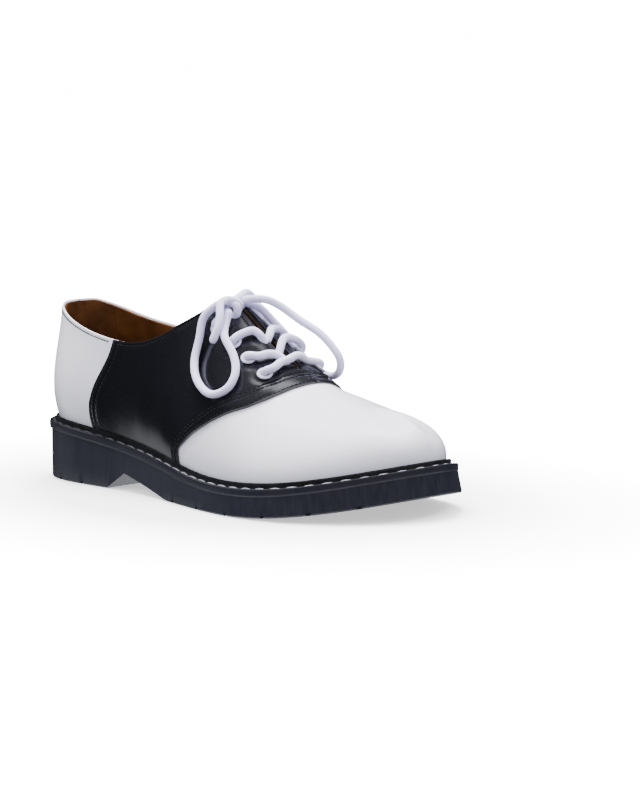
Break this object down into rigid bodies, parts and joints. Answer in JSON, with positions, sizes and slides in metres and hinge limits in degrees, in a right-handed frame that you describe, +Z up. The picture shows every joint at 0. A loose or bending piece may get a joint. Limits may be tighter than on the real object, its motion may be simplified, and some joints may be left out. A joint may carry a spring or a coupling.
{
  "type": "saddle shoe",
  "caption": "Low laced leather shoe for the right foot: white upper, black saddle over the instep, stitched welt, rubber sole with a low heel, lace tied in a bow.",
  "frame": {"origin": "on the floor under the middle of the shoe's bounding box, lace bow left out", "axes": "+X from heel to toe, +Y towards the inner (medial) side of the right foot, +Z up"},
  "size_m": [0.301, 0.1143, 0.113],
  "materials": {
    "white_leather": "smooth, glossy, lightly scuffed",
    "black_leather": "smooth, glossy",
    "tan_leather": "matt lining leather",
    "black_welt": "satin, with a grey stitch",
    "navy_rubber": "satin moulded",
    "white_enamel": "satin enamel",
    "white_cord": "round woven cotton"
  },
  "bodies": {
    "root": {"outsole": "navy_rubber", "welt": "black_welt", "insole": "tan_leather", "upper": "white_leather", "saddle": "black_leather", "tongue": "black_leather", "eyelet_lateral_1": "white_enamel", "eyelet_lateral_2": "white_enamel", "eyelet_lateral_3": "white_enamel", "eyelet_lateral_4": "white_enamel", "eyelet_medial_1": "white_enamel", "eyelet_medial_2": "white_enamel", "eyelet_medial_3": "white_enamel", "eyelet_medial_4": "white_enamel", "lace_bar": "white_cord", "lace_cross_1": "white_cord", "lace_cross_2": "white_cord", "lace_rise_lateral": "white_cord", "lace_rise_medial": "white_cord", "lace_knot": "white_cord", "lace_loop_lateral": "white_cord", "lace_loop_medial": "white_cord", "lace_end_lateral": "white_cord", "lace_end_medial": "white_cord"}
  },
  "joints": []
}
